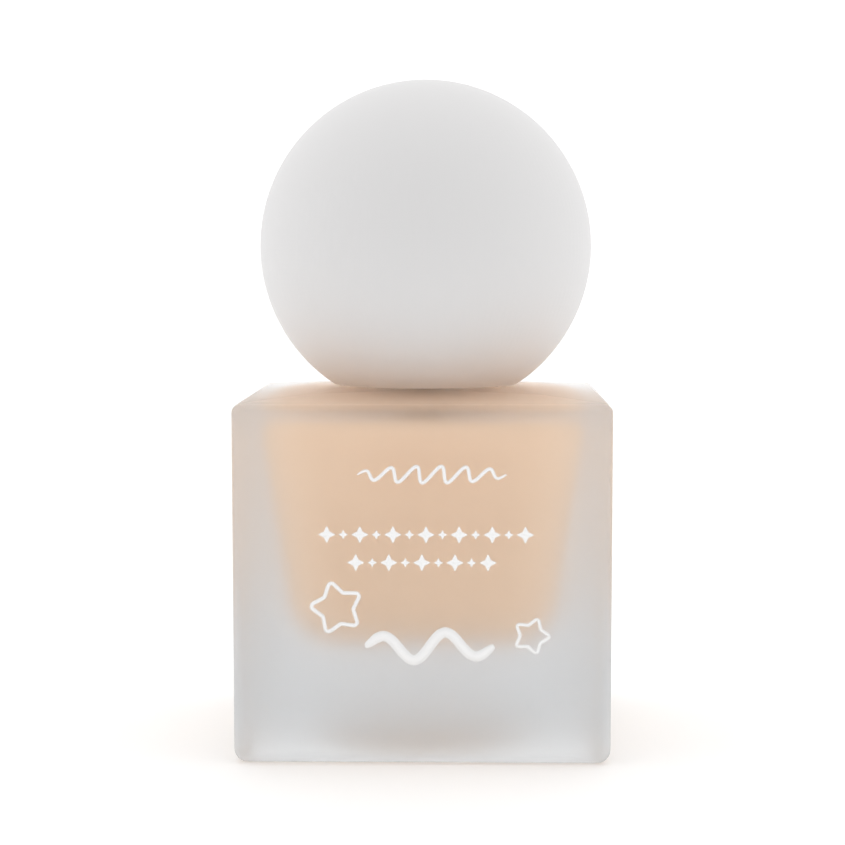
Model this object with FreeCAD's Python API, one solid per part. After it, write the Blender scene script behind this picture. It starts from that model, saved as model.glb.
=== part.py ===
"""Foundation bottle: a square frosted glass bottle with a lotion pump under a ball-shaped overcap.

Millimetres. +Z is up, the origin is the middle of the bottle's foot, and the printed front faces -Y.
Every piece is its own solid, written to parts/NAME.step. The pump is set out from the neck's top
downwards and upwards, and every round piece from the neck's bore outwards.
"""

import FreeCAD, Part
import math
import os

V = FreeCAD.Vector
UP = V(0, 0, 1)
ORIGIN = V(0, 0, 0)

# ---- glass bottle ----
BOTTLE_WIDTH = 46.0  # along X
BOTTLE_DEPTH = 46.0  # along Y
EDGE_HEIGHT = 43.9  # height of the shoulder's outer edges, before they are rounded
CROWN_RISE = 1.2  # how far the shoulder rises from its edges to the middle
CORNER_RADIUS = 1.6  # upright edges
TOP_EDGE_RADIUS = 1.1
FOOT_EDGE_RADIUS = 1.7
SIDE_WALL = 3.0  # glass at the top of the cavity
CAVITY_TAPER_DEG = 7.7  # each side of the cavity leans in towards the foot
CAVITY_CORNER_RADIUS = 7.0
CAVITY_FLOOR_RADIUS = 6.0
CAVITY_CEILING_RADIUS = 1.5
FLOOR_THICKNESS = 13.5  # the heavy base
SHOULDER_THICKNESS = 2.1  # glass between the cavity's ceiling and the shoulder's edges
PUNT_RADIUS = 15.0  # the shallow hollow under the foot
PUNT_DEPTH = 1.2
LIQUID_INSET = 0.05  # gap between the liquid's solid and the glass

# ---- neck and its screw thread, a 15 mm cosmetic finish ----
NECK_HEIGHT = 12.0  # from the crown of the shoulder to the sealing land
NECK_BORE_RADIUS = 4.2
NECK_WALL = 2.3
THREAD_PITCH = 2.54
THREAD_DEPTH = 0.75
THREAD_BASE = 1.5  # width of the ridge at its root
THREAD_CREST = 0.7
THREAD_SINK = 0.2  # how far a ridge's foot is sunk in its wall
NECK_THREAD_TURNS = 1.5
COLLAR_THREAD_TURNS = 1.25
THREAD_TOP_GAP = 2.0  # from the sealing land down to the start of the neck's ridge
THREAD_CLEARANCE = 0.15

# ---- pump ----
GASKET_THICKNESS = 0.8
FLANGE_THICKNESS = 1.0
GUIDE_FLANGE_THICKNESS = 0.8
BARREL_CLEARANCE = 0.4  # barrel to neck bore
BARREL_WALL = 0.8
BARREL_LENGTH = 21.0  # from the housing flange's top down to the cage's ledge
GUIDE_PLUG_LENGTH = 3.0
STEM_RADIUS = 1.5
STEM_BORE_RADIUS = 0.85
STEM_GUIDE_CLEARANCE = 0.06
STROKE = 5.0
PISTON_HEIGHT = 3.2
PISTON_CLEARANCE = 0.03
PISTON_PARTING = 0.2  # gap between neighbours of the piston at rest
PLUG_HEAD_HEIGHT = 2.6
PLUG_FLOW_GAP = 0.6  # round the plug's head, for the liquid
PLUG_SPIGOT_LENGTH = 1.0
CROSS_HOLE_RADIUS = 0.45
CAGE_THICKNESS = 1.0
CAGE_HOLE_RADIUS = 0.9
CAGE_SLOT_WIDTH = 0.6
CHAMBER_RADIUS = 2.0
BALL_RADIUS = 1.2
BALL_LIFT = 1.0
BALL_HEADROOM = 0.05  # lifted ball to the cage
BALL_SEAT_CLEARANCE = 0.02
SEAT_HOLE_RADIUS = 0.7
SEAT_HEIGHT = 1.6
INLET_LENGTH = 0.8
SOCKET_LENGTH = 6.0
SOCKET_WALL = 0.8
TUBE_RADIUS = 1.5
TUBE_WALL = 0.5
TUBE_END_GAP = 1.2  # tube's foot to the bottle's floor
SPRING_WIRE_RADIUS = 0.26
SPRING_SIDE_GAP = 0.6  # spring to cylinder wall
SPRING_COILS = 6.5

# ---- screw collar and its sleeve ----
COLLAR_WALL = 1.2
COLLAR_WEB_THICKNESS = 1.0
COLLAR_FOOT_GAP = 1.2  # collar's lower rim to the shoulder's crown
WEB_HOLE_RADIUS = 4.6
SLEEVE_WALL = 0.45
SLEEVE_LIP = 1.6  # how far the sleeve's top turns inwards

# ---- actuator ----
ACTUATOR_RADIUS = 6.2
ACTUATOR_HEIGHT = 8.6
ACTUATOR_WALL = 1.1
ACTUATOR_TOP_THICKNESS = 1.6
BOSS_RADIUS = 2.7
STEM_SOCKET_DEPTH = 3.6
PRESSED_GAP = 0.3  # actuator's rim to the collar when pressed right down
FINGER_DISH_DEPTH = 0.7
ACTUATOR_TOP_RADIUS = 0.7
SPOUT_RADIUS = 1.75
SPOUT_DROP = 3.4  # spout's axis below the actuator's top edge
NOZZLE_RADIUS = 1.15
NOZZLE_BORE_RADIUS = 0.5
NOZZLE_LENGTH = 2.6
NOZZLE_SWING_GAP = 0.35  # spout's tip to the cap's snap bumps

# ---- ball overcap ----
BALL_CAP_DIAMETER = 42.8
BALL_CAP_WALL = 1.8
BALL_CAP_GAP = 0.1  # ball's flat base over the level of the shoulder's crown
BALL_CAP_RIM = 1.6  # width of the flat ring round the opening
BASE_EDGE_RADIUS = 0.35
TONGUE_HEIGHT = 1.2  # step that joins the two halves
CAP_SLEEVE_WALL = 0.9
CAP_SLEEVE_LENGTH = 13.0
CAP_BOSS_HEIGHT = 4.5
CAP_BOSS_WALL = 1.2
CAP_CLEARANCE = 0.3  # cap liner to collar sleeve
SNAP_CLEARANCE = 0.05  # snap bumps to collar sleeve
SNAP_COUNT = 6
SNAP_HEIGHT = 3.0
SNAP_WIDTH = 1.6
SNAP_RISE = 4.5  # foot of the liner to the foot of the bumps

NEAR = 1e-4  # two heights or directions that count as the same
FIT = 0.02  # pieces pressed or bonded together, each side
SEAL_GAP = 0.02  # faces that meet when the collar is tight
LIQUID_CLEARANCE = 0.3  # liquid's passage round the pump

# ---- radii, from the neck's bore outwards ----
NECK_RADIUS = NECK_BORE_RADIUS + NECK_WALL
THREAD_RADIUS = NECK_RADIUS + THREAD_DEPTH
COLLAR_BORE = THREAD_RADIUS + THREAD_CLEARANCE
COLLAR_RADIUS = COLLAR_BORE + COLLAR_WALL
SLEEVE_BORE = COLLAR_RADIUS + FIT
SLEEVE_RADIUS = SLEEVE_BORE + SLEEVE_WALL
CAP_SLEEVE_BORE = SLEEVE_RADIUS + CAP_CLEARANCE
SNAP_RADIUS = SLEEVE_RADIUS + SNAP_CLEARANCE
CAP_SLEEVE_RADIUS = CAP_SLEEVE_BORE + CAP_SLEEVE_WALL
CAP_OPENING_RADIUS = CAP_SLEEVE_RADIUS + FIT
CAP_BASE_RADIUS = CAP_OPENING_RADIUS + BALL_CAP_RIM
BARREL_RADIUS = NECK_BORE_RADIUS - BARREL_CLEARANCE
CYLINDER_RADIUS = BARREL_RADIUS - BARREL_WALL
PLUG_HEAD_RADIUS = CYLINDER_RADIUS - PLUG_FLOW_GAP
SPRING_RADIUS = CYLINDER_RADIUS - SPRING_SIDE_GAP - SPRING_WIRE_RADIUS
SOCKET_RADIUS = TUBE_RADIUS + FIT + SOCKET_WALL
FLANGE_RADIUS = NECK_RADIUS
SPOUT_REACH = SNAP_RADIUS - NOZZLE_SWING_GAP

# ---- heights ----
CROWN_Z = EDGE_HEIGHT + CROWN_RISE
CEILING_Z = EDGE_HEIGHT - SHOULDER_THICKNESS
FLOOR_Z = FLOOR_THICKNESS
LAND_Z = CROWN_Z + NECK_HEIGHT
NECK_THREAD_Z = LAND_Z - THREAD_TOP_GAP - NECK_THREAD_TURNS * THREAD_PITCH
COLLAR_THREAD_Z = NECK_THREAD_Z + THREAD_PITCH / 2
GASKET_Z = LAND_Z + SEAL_GAP
FLANGE_Z = GASKET_Z + GASKET_THICKNESS
FLANGE_TOP_Z = FLANGE_Z + FLANGE_THICKNESS
GUIDE_TOP_Z = FLANGE_TOP_Z + GUIDE_FLANGE_THICKNESS
WEB_Z = GUIDE_TOP_Z + SEAL_GAP
WEB_TOP_Z = WEB_Z + COLLAR_WEB_THICKNESS
SLEEVE_TOP_Z = WEB_TOP_Z + FIT + SLEEVE_WALL
COLLAR_FOOT_Z = CROWN_Z + COLLAR_FOOT_GAP
PISTON_TOP_Z = FLANGE_TOP_Z - GUIDE_PLUG_LENGTH - PISTON_PARTING
PISTON_FOOT_Z = PISTON_TOP_Z - PISTON_HEIGHT
PLUG_TOP_Z = PISTON_FOOT_Z - PISTON_PARTING
PLUG_FOOT_Z = PLUG_TOP_Z - PLUG_HEAD_HEIGHT
LEDGE_Z = FLANGE_TOP_Z - BARREL_LENGTH
CAGE_TOP_Z = LEDGE_Z + CAGE_THICKNESS
SEAT_LENGTH = math.hypot(CHAMBER_RADIUS - SEAT_HOLE_RADIUS, SEAT_HEIGHT)
BALL_OVER_SEAT = (
    (BALL_RADIUS + BALL_SEAT_CLEARANCE) * SEAT_LENGTH - SEAT_HOLE_RADIUS * SEAT_HEIGHT
) / (CHAMBER_RADIUS - SEAT_HOLE_RADIUS)
BALL_Z = LEDGE_Z - BALL_HEADROOM - BALL_LIFT - BALL_RADIUS
SEAT_Z = BALL_Z - BALL_OVER_SEAT
INLET_Z = SEAT_Z - INLET_LENGTH
SOCKET_FOOT_Z = INLET_Z - SOCKET_LENGTH
TUBE_FOOT_Z = FLOOR_Z + TUBE_END_GAP
ACTUATOR_Z = SLEEVE_TOP_Z + STROKE + PRESSED_GAP
ACTUATOR_TOP_Z = ACTUATOR_Z + ACTUATOR_HEIGHT
STEM_TOP_Z = ACTUATOR_Z + STEM_SOCKET_DEPTH
SPOUT_Z = ACTUATOR_TOP_Z - SPOUT_DROP
CROSS_HOLE_Z = (PISTON_TOP_Z + PISTON_FOOT_Z) / 2
CAP_RADIUS = BALL_CAP_DIAMETER / 2
CAP_BASE_Z = CROWN_Z + BALL_CAP_GAP
CAP_CENTRE_Z = CAP_BASE_Z + math.sqrt(CAP_RADIUS**2 - CAP_BASE_RADIUS**2)


def turned(outline):
    """A solid turned round Z from an outline of (radius, height) points."""
    points = [V(r, 0, z) for r, z in outline]
    face = Part.Face(Part.makePolygon(points + points[:1]))
    return face.revolve(ORIGIN, UP, 360)


def ring(inner, outer, low, high):
    return turned([(inner, low), (outer, low), (outer, high), (inner, high)])


def rod(radius, low, high):
    return Part.makeCylinder(radius, high - low, V(0, 0, low), UP)


def ball(radius, z):
    return Part.makeSphere(radius, V(0, 0, z))


def edges_along(shape, direction, at=None):
    """The straight edges of shape that run along direction and pass the test at(middle of the edge)."""
    found = []
    for edge in shape.Edges:
        if isinstance(edge.Curve, (Part.Line, Part.LineSegment)):
            run = edge.Vertexes[-1].Point - edge.Vertexes[0].Point
            if run.cross(direction).Length < NEAR * run.Length and (at is None or at(edge.CenterOfMass)):
                found.append(edge)
    return found


def edges_level(shape, z):
    """The edges of shape that lie at height z."""
    return [e for e in shape.Edges if abs(e.BoundBox.ZMin - z) < NEAR and abs(e.BoundBox.ZMax - z) < NEAR]


def block(low):
    """A block centred on Z, large enough to keep or cut everything over the height low."""
    size = 2 * max(BALL_CAP_DIAMETER, BOTTLE_WIDTH, BOTTLE_DEPTH)
    return Part.makeBox(size, size, size, V(-size / 2, -size / 2, low))


def vaulted_prism(width, length):
    """A loaf, width in X and length in Y: flat foot, upright sides, arched top, its long edges rounded."""
    half, end = width / 2, -length / 2
    corners = [V(-half, end, EDGE_HEIGHT), V(-half, end, 0), V(half, end, 0), V(half, end, EDGE_HEIGHT)]
    arch = Part.Arc(corners[3], V(0, end, CROWN_Z), corners[0]).toShape()
    sides = [Part.makeLine(a, b) for a, b in zip(corners, corners[1:])]
    prism = Part.Face(Part.Wire(sides + [arch])).extrude(V(0, length, 0))
    low = edges_along(prism, V(0, 1, 0), lambda p: p.z < EDGE_HEIGHT / 2)
    prism = prism.makeFillet(FOOT_EDGE_RADIUS, low)
    high = edges_along(prism, V(0, 1, 0), lambda p: p.z > EDGE_HEIGHT - TOP_EDGE_RADIUS / 2)
    return prism.makeFillet(TOP_EDGE_RADIUS, high)


def glass_outside():
    """Two arched loaves crossed, so that four slopes meet in ridges from the corners to the neck."""
    across = vaulted_prism(BOTTLE_DEPTH, BOTTLE_WIDTH)
    across.rotate(ORIGIN, UP, 90)
    corner = V(-BOTTLE_WIDTH / 2, -BOTTLE_DEPTH / 2, 0)
    post = Part.makeBox(BOTTLE_WIDTH, BOTTLE_DEPTH, CROWN_Z, corner)
    post = post.makeFillet(CORNER_RADIUS, edges_along(post, UP))
    return vaulted_prism(BOTTLE_WIDTH, BOTTLE_DEPTH).common(across).common(post)


def coiled(outline, pitch, turns, radius, start):
    """A solid swept by outline, a wire in the XZ plane at height 0, up a helix from height start."""
    sweep = Part.BRepOffsetAPI.MakePipeShell(Part.Wire(Part.makeHelix(pitch, pitch * turns, radius)))
    sweep.setFrenetMode(True)
    sweep.add(outline)
    sweep.build()
    sweep.makeSolid()
    solid = sweep.shape()
    solid.translate(V(0, 0, start))
    return solid


def frustum(width, depth, low, high, lean):
    """A block that is width by depth at its top and whose four sides lean in by lean degrees downwards."""
    inset = (high - low) * math.tan(math.radians(lean))

    def outline(z, shrink):
        x, y = width / 2 - shrink, depth / 2 - shrink
        corners = [V(-x, -y, z), V(x, -y, z), V(x, y, z), V(-x, y, z)]
        return Part.makePolygon(corners + corners[:1])

    return Part.makeLoft([outline(low, inset), outline(high, 0)], True, True)


def cavity(inset):
    """The space inside the glass, each wall moved in by inset."""
    width = BOTTLE_WIDTH - 2 * (SIDE_WALL + inset)
    depth = BOTTLE_DEPTH - 2 * (SIDE_WALL + inset)
    low, high = FLOOR_Z + inset, CEILING_Z - inset
    space = frustum(width, depth, low, high, CAVITY_TAPER_DEG)
    upright = [e for e in space.Edges if abs(e.Vertexes[0].Z - e.Vertexes[-1].Z) > NEAR]
    space = space.makeFillet(CAVITY_CORNER_RADIUS - inset, upright)
    space = space.makeFillet(CAVITY_FLOOR_RADIUS - inset, edges_level(space, low))
    return space.makeFillet(CAVITY_CEILING_RADIUS - inset, edges_level(space, high))


def thread(root_radius, outwards, start, turns):
    """A helical ridge THREAD_DEPTH high on root_radius, outwards or inwards, with its foot in the wall."""
    sign = 1 if outwards else -1
    foot, crest = root_radius - sign * THREAD_SINK, root_radius + sign * THREAD_DEPTH
    spread = (THREAD_BASE - THREAD_CREST) / 2 * THREAD_SINK / THREAD_DEPTH
    base, tip = THREAD_BASE / 2 + spread, THREAD_CREST / 2
    corners = [V(foot, 0, -base), V(crest, 0, -tip), V(crest, 0, tip), V(foot, 0, base)]
    outline = Part.makePolygon(corners + corners[:1])
    return coiled(outline, THREAD_PITCH, turns, root_radius, start)


def glass_bottle():
    neck = rod(NECK_RADIUS, CEILING_Z, LAND_Z)
    ridge = thread(NECK_RADIUS, True, NECK_THREAD_Z, NECK_THREAD_TURNS)
    glass = glass_outside().fuse(neck).fuse(ridge)
    punt_sphere = (PUNT_RADIUS**2 + PUNT_DEPTH**2) / (2 * PUNT_DEPTH)
    hollow = cavity(0).fuse(rod(NECK_BORE_RADIUS, CEILING_Z - 1, LAND_Z + 1))
    return glass.cut(hollow).cut(ball(punt_sphere, PUNT_DEPTH - punt_sphere)).removeSplitter()


def pump_passage():
    """The room that the pump needs in the liquid, straight up from each of its steps."""
    gap, top = LIQUID_CLEARANCE, CEILING_Z
    passage = rod(TUBE_RADIUS + gap, TUBE_FOOT_Z - gap, top)
    passage = passage.fuse(rod(SOCKET_RADIUS + gap, SOCKET_FOOT_Z - gap, top))
    return passage.fuse(rod(BARREL_RADIUS + gap, INLET_Z - gap, top))


def foundation_liquid():
    """The filled cavity, up to its ceiling, with room for the pump."""
    return cavity(LIQUID_INSET).cut(pump_passage())


def neck_gasket():
    return ring(BARREL_RADIUS + FIT, FLANGE_RADIUS, GASKET_Z, GASKET_Z + GASKET_THICKNESS)


def pump_housing():
    barrel_foot = LEDGE_Z - BARREL_WALL
    return turned([
        (CYLINDER_RADIUS, FLANGE_TOP_Z), (FLANGE_RADIUS, FLANGE_TOP_Z), (FLANGE_RADIUS, FLANGE_Z),
        (BARREL_RADIUS, FLANGE_Z), (BARREL_RADIUS, barrel_foot),
        (CHAMBER_RADIUS + BARREL_WALL, barrel_foot - BARREL_WALL),
        (CHAMBER_RADIUS + BARREL_WALL, SEAT_Z + SEAT_HEIGHT / 2), (SOCKET_RADIUS, SEAT_Z),
        (SOCKET_RADIUS, SOCKET_FOOT_Z), (TUBE_RADIUS + FIT, SOCKET_FOOT_Z), (TUBE_RADIUS + FIT, INLET_Z),
        (SEAT_HOLE_RADIUS, INLET_Z), (SEAT_HOLE_RADIUS, SEAT_Z), (CHAMBER_RADIUS, SEAT_Z + SEAT_HEIGHT),
        (CHAMBER_RADIUS, LEDGE_Z), (CYLINDER_RADIUS, LEDGE_Z)])


def ball_cage():
    cage = ring(CAGE_HOLE_RADIUS, CYLINDER_RADIUS - FIT, LEDGE_Z + FIT, CAGE_TOP_Z)
    reach = CHAMBER_RADIUS
    for turn in (0, 60, 120):
        corner = V(-reach, -CAGE_SLOT_WIDTH / 2, LEDGE_Z)
        slot = Part.makeBox(2 * reach, CAGE_SLOT_WIDTH, CAGE_THICKNESS, corner)
        slot.rotate(ORIGIN, UP, turn)
        cage = cage.cut(slot)
    return cage


def stem_guide():
    bore = STEM_RADIUS + STEM_GUIDE_CLEARANCE
    return turned([
        (bore, FLANGE_TOP_Z - GUIDE_PLUG_LENGTH), (CYLINDER_RADIUS - FIT, FLANGE_TOP_Z - GUIDE_PLUG_LENGTH),
        (CYLINDER_RADIUS - FIT, FLANGE_TOP_Z + FIT), (FLANGE_RADIUS - FIT, FLANGE_TOP_Z + FIT),
        (FLANGE_RADIUS - FIT, GUIDE_TOP_Z), (bore, GUIDE_TOP_Z)])


def dip_tube():
    return ring(TUBE_RADIUS - TUBE_WALL, TUBE_RADIUS, TUBE_FOOT_Z, INLET_Z - FIT)


def return_spring():
    low, high = CAGE_TOP_Z + SPRING_WIRE_RADIUS + FIT, PLUG_FOOT_Z - SPRING_WIRE_RADIUS - FIT
    wire = Part.Wire(Part.makeCircle(SPRING_WIRE_RADIUS, V(SPRING_RADIUS, 0, 0), V(0, 1, 0)))
    return coiled(wire, (high - low) / SPRING_COILS, SPRING_COILS, SPRING_RADIUS, low)


def check_ball():
    return ball(BALL_RADIUS, BALL_Z)


def piston_seal():
    """A spool with a lip at each end; it travels less than the stem and so opens the stem's cross hole."""
    outer, waist = CYLINDER_RADIUS - PISTON_CLEARANCE, CYLINDER_RADIUS - 6 * PISTON_CLEARANCE
    lip = PISTON_HEIGHT / 4
    return turned([
        (STEM_RADIUS + PISTON_CLEARANCE, PISTON_FOOT_Z), (outer, PISTON_FOOT_Z), (outer, PISTON_FOOT_Z + lip),
        (waist, PISTON_FOOT_Z + 1.5 * lip), (waist, PISTON_TOP_Z - 1.5 * lip), (outer, PISTON_TOP_Z - lip),
        (outer, PISTON_TOP_Z), (STEM_RADIUS + PISTON_CLEARANCE, PISTON_TOP_Z)])


def stem():
    tube = ring(STEM_BORE_RADIUS, STEM_RADIUS, PLUG_TOP_Z + FIT, STEM_TOP_Z)
    start = V(-2 * STEM_RADIUS, 0, CROSS_HOLE_Z)
    return tube.cut(Part.makeCylinder(CROSS_HOLE_RADIUS, 4 * STEM_RADIUS, start, V(1, 0, 0)))


def stem_plug():
    spigot = STEM_BORE_RADIUS - FIT
    spigot_z = PLUG_TOP_Z + PLUG_SPIGOT_LENGTH
    return turned([
        (0, PLUG_FOOT_Z), (PLUG_HEAD_RADIUS, PLUG_FOOT_Z), (PLUG_HEAD_RADIUS, PLUG_TOP_Z),
        (spigot, PLUG_TOP_Z), (spigot, spigot_z), (0, spigot_z)])


def spout_rod(radius, start, end):
    """A rod along the spout's axis, from start to end in front of the stem's axis."""
    return Part.makeCylinder(radius, end - start, V(0, -start, SPOUT_Z), V(0, -1, 0))


def actuator_head():
    inner, roof = ACTUATOR_RADIUS - ACTUATOR_WALL, ACTUATOR_TOP_Z - ACTUATOR_TOP_THICKNESS
    head = turned([
        (0, ACTUATOR_Z), (BOSS_RADIUS, ACTUATOR_Z), (BOSS_RADIUS, roof), (inner, roof), (inner, ACTUATOR_Z),
        (ACTUATOR_RADIUS, ACTUATOR_Z), (ACTUATOR_RADIUS, ACTUATOR_TOP_Z), (0, ACTUATOR_TOP_Z)])
    head = head.makeFillet(ACTUATOR_TOP_RADIUS, edges_level(head, ACTUATOR_TOP_Z))
    dish_sphere = (ACTUATOR_RADIUS**2 + FINGER_DISH_DEPTH**2) / (2 * FINGER_DISH_DEPTH)
    head = head.cut(ball(dish_sphere, ACTUATOR_TOP_Z - FINGER_DISH_DEPTH + dish_sphere))
    head = head.fuse(spout_rod(SPOUT_RADIUS, 0, SPOUT_REACH))
    head = head.cut(spout_rod(NOZZLE_BORE_RADIUS, 0, SPOUT_REACH))
    head = head.cut(spout_rod(NOZZLE_RADIUS + FIT, SPOUT_REACH - NOZZLE_LENGTH, SPOUT_REACH))
    head = head.cut(rod(STEM_RADIUS + FIT, ACTUATOR_Z - 1, STEM_TOP_Z + FIT))
    return head.cut(rod(STEM_BORE_RADIUS, ACTUATOR_Z, SPOUT_Z))


def nozzle_insert():
    start = SPOUT_REACH - NOZZLE_LENGTH + FIT
    tip = spout_rod(NOZZLE_RADIUS, start, SPOUT_REACH)
    return tip.cut(spout_rod(NOZZLE_BORE_RADIUS, start, SPOUT_REACH))


def screw_collar():
    cup = turned([
        (COLLAR_BORE, COLLAR_FOOT_Z), (COLLAR_RADIUS, COLLAR_FOOT_Z), (COLLAR_RADIUS, WEB_TOP_Z),
        (WEB_HOLE_RADIUS, WEB_TOP_Z), (WEB_HOLE_RADIUS, WEB_Z), (COLLAR_BORE, WEB_Z)])
    return cup.fuse(thread(COLLAR_BORE, False, COLLAR_THREAD_Z, COLLAR_THREAD_TURNS)).removeSplitter()


def collar_sleeve():
    lip_z = WEB_TOP_Z + FIT
    return turned([
        (SLEEVE_BORE, COLLAR_FOOT_Z), (SLEEVE_RADIUS, COLLAR_FOOT_Z), (SLEEVE_RADIUS, SLEEVE_TOP_Z),
        (SLEEVE_BORE - SLEEVE_LIP, SLEEVE_TOP_Z), (SLEEVE_BORE - SLEEVE_LIP, lip_z), (SLEEVE_BORE, lip_z)])


def ball_shell():
    """The whole hollow ball, cut flat at its base, with the flat ring and the boss round its opening."""
    outside = ball(CAP_RADIUS, CAP_CENTRE_Z).common(block(CAP_BASE_Z))
    outside = outside.makeFillet(BASE_EDGE_RADIUS, edges_level(outside, CAP_BASE_Z))
    hollow = ball(CAP_RADIUS - BALL_CAP_WALL, CAP_CENTRE_Z).common(block(CAP_BASE_Z + BALL_CAP_WALL))
    boss_radius = CAP_OPENING_RADIUS + CAP_BOSS_WALL
    boss = rod(boss_radius, CAP_BASE_Z + BALL_CAP_WALL / 2, CAP_BASE_Z + CAP_BOSS_HEIGHT)
    boss = boss.common(ball(CAP_RADIUS - BALL_CAP_WALL / 2, CAP_CENTRE_Z))
    opening = rod(CAP_OPENING_RADIUS, CAP_BASE_Z - 1, CAP_BASE_Z + CAP_BOSS_HEIGHT)
    return outside.cut(hollow).fuse(boss).cut(opening)


def tongue(slack):
    """The step at the ball's equator, half the wall thick, with slack all round for the groove."""
    inner = CAP_RADIUS - BALL_CAP_WALL
    return ring(inner - slack, inner + BALL_CAP_WALL / 2 + slack, CAP_CENTRE_Z - slack,
                CAP_CENTRE_Z + TONGUE_HEIGHT + slack)


def ball_upper_shell():
    return ball_shell().common(block(CAP_CENTRE_Z)).cut(tongue(FIT))


def ball_lower_shell():
    return ball_shell().cut(block(CAP_CENTRE_Z)).fuse(tongue(0)).removeSplitter()


def cap_inner_sleeve():
    liner = ring(CAP_SLEEVE_BORE, CAP_SLEEVE_RADIUS, CAP_BASE_Z, CAP_BASE_Z + CAP_SLEEVE_LENGTH)
    low, high = CAP_BASE_Z + SNAP_RISE, CAP_BASE_Z + SNAP_RISE + SNAP_HEIGHT
    root = CAP_SLEEVE_BORE + CAP_SLEEVE_WALL / 2
    ramp = 2 * (CAP_SLEEVE_BORE - SNAP_RADIUS)
    bead = turned([
        (root, low), (CAP_SLEEVE_BORE, low), (SNAP_RADIUS, low + ramp), (SNAP_RADIUS, high - ramp),
        (CAP_SLEEVE_BORE, high), (root, high)])
    for i in range(SNAP_COUNT):
        slab = Part.makeBox(CAP_SLEEVE_RADIUS, SNAP_WIDTH, SNAP_HEIGHT, V(0, -SNAP_WIDTH / 2, low))
        slab.rotate(ORIGIN, UP, 360 / SNAP_COUNT * (i + 0.5))
        liner = liner.fuse(bead.common(slab))
    return liner.removeSplitter()


PIECES = [
    glass_bottle, foundation_liquid,
    neck_gasket, pump_housing, ball_cage, stem_guide, dip_tube, return_spring, check_ball,
    piston_seal, stem, stem_plug, actuator_head, nozzle_insert, screw_collar, collar_sleeve,
    ball_upper_shell, ball_lower_shell, cap_inner_sleeve]


def main():
    os.makedirs("parts", exist_ok=True)
    for make in PIECES:
        shape = make()
        if not shape.isValid() or len(shape.Solids) != 1:
            raise ValueError(f"{make.__name__}: {len(shape.Solids)} solids, valid {shape.isValid()}")
        shape.Solids[0].exportStep(f"parts/{make.__name__}.step")
        box = shape.BoundBox
        print(f"{make.__name__:20s} {shape.Volume:9.1f} mm3  z {box.ZMin:6.2f} to {box.ZMax:6.2f}")


main()
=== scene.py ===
import math

import bpy
import bmesh
from mathutils import Euler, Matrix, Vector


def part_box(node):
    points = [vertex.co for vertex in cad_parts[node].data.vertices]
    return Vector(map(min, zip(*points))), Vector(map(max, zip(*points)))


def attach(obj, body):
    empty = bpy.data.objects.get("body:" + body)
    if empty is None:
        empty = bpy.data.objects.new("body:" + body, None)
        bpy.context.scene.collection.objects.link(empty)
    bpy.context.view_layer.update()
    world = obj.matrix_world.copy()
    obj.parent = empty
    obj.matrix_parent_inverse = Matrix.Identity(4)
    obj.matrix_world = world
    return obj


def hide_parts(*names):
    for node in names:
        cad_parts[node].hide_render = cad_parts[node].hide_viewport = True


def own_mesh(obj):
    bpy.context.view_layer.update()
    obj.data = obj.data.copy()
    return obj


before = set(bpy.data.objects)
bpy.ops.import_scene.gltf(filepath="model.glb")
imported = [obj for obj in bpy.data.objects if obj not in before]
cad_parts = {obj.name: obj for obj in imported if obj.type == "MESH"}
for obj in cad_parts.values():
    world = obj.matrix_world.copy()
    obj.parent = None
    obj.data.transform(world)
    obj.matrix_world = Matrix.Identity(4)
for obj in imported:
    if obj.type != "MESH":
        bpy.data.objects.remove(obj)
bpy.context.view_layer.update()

bl_info = {
    "name": "Frosted Foundation Bottle",
    "version": (1, 0, 0),
    "blender": (4, 5, 0),
    "location": "View3D > Sidebar > Bottle",
    "description": "Square frosted glass bottle of foundation with a lotion pump under a ball overcap",
    "category": "Add Mesh",
}

# Lengths in the functions below are in millimetres; MM turns them to Blender's metres.
MM = 0.001
FINE = 1e-3  # two lengths in millimetres that count as the same
SMOOTH_ANGLE = math.radians(38)  # an edge that turns more than this shows as a crease


def linear(hex_code):
    """The linear colour of an sRGB hex code such as E8D2C0."""
    parts = [int(hex_code[i:i + 2], 16) / 255 for i in (0, 2, 4)]
    return tuple(p / 12.92 if p <= 0.04045 else ((p + 0.055) / 1.055) ** 2.4 for p in parts)


def node_box(node):
    """The lowest and highest corners of a CAD node, in millimetres."""
    return tuple([v / MM for v in corner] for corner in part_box(node))


def length(name, description, value):
    """A length property whose default is given in millimetres."""
    return bpy.props.FloatProperty(
        name=name, description=description, default=value * MM, unit="LENGTH", min=0, precision=5)


def colour(name, description, hex_code):
    """A colour property whose default is given as an sRGB hex code."""
    return bpy.props.FloatVectorProperty(
        name=name, description=description, default=linear(hex_code), subtype="COLOR", size=3, min=0, max=1)


# ---------------------------------------------------------------- settings

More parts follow.
